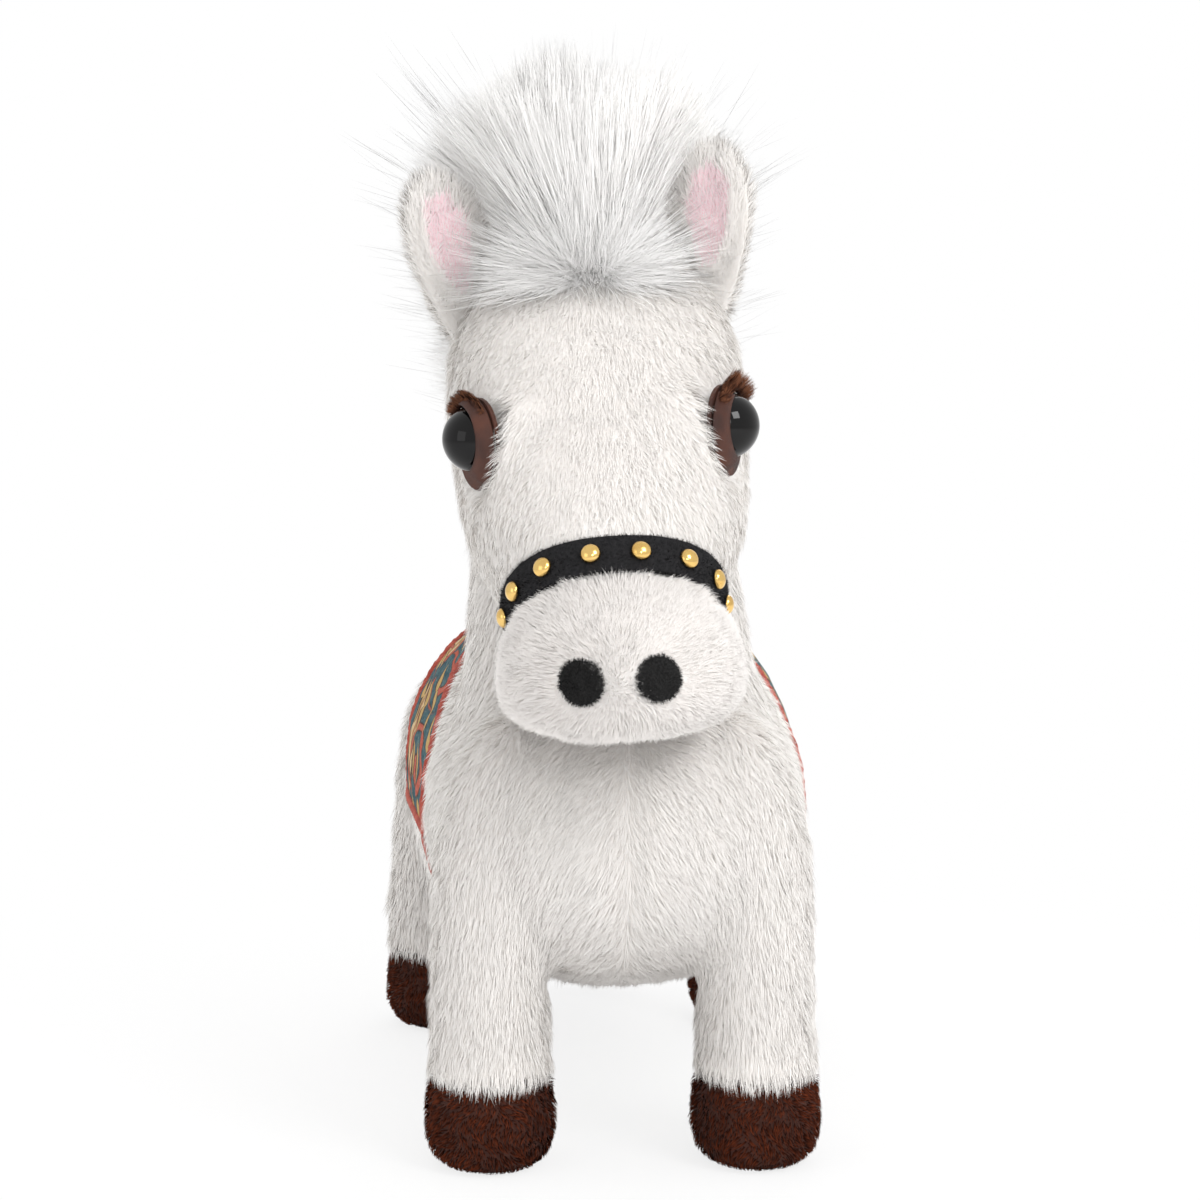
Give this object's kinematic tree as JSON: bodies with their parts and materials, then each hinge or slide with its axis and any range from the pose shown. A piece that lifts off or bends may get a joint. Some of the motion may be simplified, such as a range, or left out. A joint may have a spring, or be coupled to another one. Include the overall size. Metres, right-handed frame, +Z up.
{
  "type": "plush horse",
  "caption": "Standing plush horse with a tall hair mane, a studded noseband, ears that fold, a tail that lifts and swings, and a printed saddle blanket.",
  "frame": {"origin": "on the floor, under the centre of the bounding box", "axes": "+Z up, the horse faces -Y and its left side is at +X"},
  "size_m": [0.123, 0.2746, 0.2792],
  "materials": {
    "white_plush": "plush pile",
    "muzzle_plush": "short plush pile",
    "long_hair": "long straight pile",
    "pink_plush": "short plush pile",
    "brown_plush": "short plush pile",
    "brown_vinyl": "satin leatherette",
    "black_felt": "matte felt",
    "black_velvet": "matte velvet",
    "eye_gloss": "polished",
    "washer_plastic": "moulded",
    "stud_brass": "polished",
    "blanket_cloth": "printed tapestry weave",
    "piping_cloth": "woven tape"
  },
  "bodies": {
    "horse": {"torso": "white_plush", "neck": "white_plush", "head": "white_plush", "front_left_leg": "white_plush", "front_right_leg": "white_plush", "hind_left_leg": "white_plush", "hind_right_leg": "white_plush", "tail_dock": "white_plush", "muzzle": "muzzle_plush", "forelock": "long_hair", "mane": "long_hair", "front_left_hoof": "brown_plush", "front_right_hoof": "brown_plush", "hind_left_hoof": "brown_plush", "hind_right_hoof": "brown_plush", "left_lash": "brown_plush", "right_lash": "brown_plush", "left_eye_patch": "brown_vinyl", "right_eye_patch": "brown_vinyl", "left_nostril": "black_felt", "right_nostril": "black_felt", "noseband": "black_velvet", "left_eye": "eye_gloss", "right_eye": "eye_gloss", "left_eye_washer": "washer_plastic", "right_eye_washer": "washer_plastic", "stud_01": "stud_brass", "stud_02": "stud_brass", "stud_03": "stud_brass", "stud_04": "stud_brass", "stud_05": "stud_brass", "stud_06": "stud_brass", "stud_07": "stud_brass", "stud_08": "stud_brass", "stud_09": "stud_brass", "stud_10": "stud_brass", "stud_11": "stud_brass", "stud_12": "stud_brass", "stud_13": "stud_brass", "stud_14": "stud_brass", "saddle_blanket": "blanket_cloth", "blanket_piping": "piping_cloth"},
    "left_ear": {"left_ear": "white_plush", "left_ear_lining": "pink_plush"},
    "right_ear": {"right_ear": "white_plush", "right_ear_lining": "pink_plush"},
    "tail_knot": {"tail_knot": "long_hair"},
    "tail_hair": {"tail_hair": "long_hair"}
  },
  "joints": [
    {"name": "left_ear_fold", "type": "hinge", "parent": "horse", "child": "left_ear", "pos_m": [0.02408, -0.0402, 0.22071], "axis": [-0.5433, 0.1623, 0.8237], "range_deg": [-12, 20], "stiffness_Nm_per_rad": 0.002},
    {"name": "right_ear_fold", "type": "hinge", "parent": "horse", "child": "right_ear", "pos_m": [-0.03884, -0.0402, 0.21431], "axis": [-0.3544, -0.1307, -0.9259], "range_deg": [-12, 20], "stiffness_Nm_per_rad": 0.002},
    {"name": "tail_lift", "type": "hinge", "parent": "horse", "child": "tail_knot", "pos_m": [0, 0.11734, 0.112], "axis": [1, 0, 0], "range_deg": [0, 75]},
    {"name": "tail_swing", "type": "hinge", "parent": "tail_knot", "child": "tail_hair", "pos_m": [0, 0.11734, 0.112], "axis": [0, 1, 0], "range_deg": [-30, 30]}
  ]
}
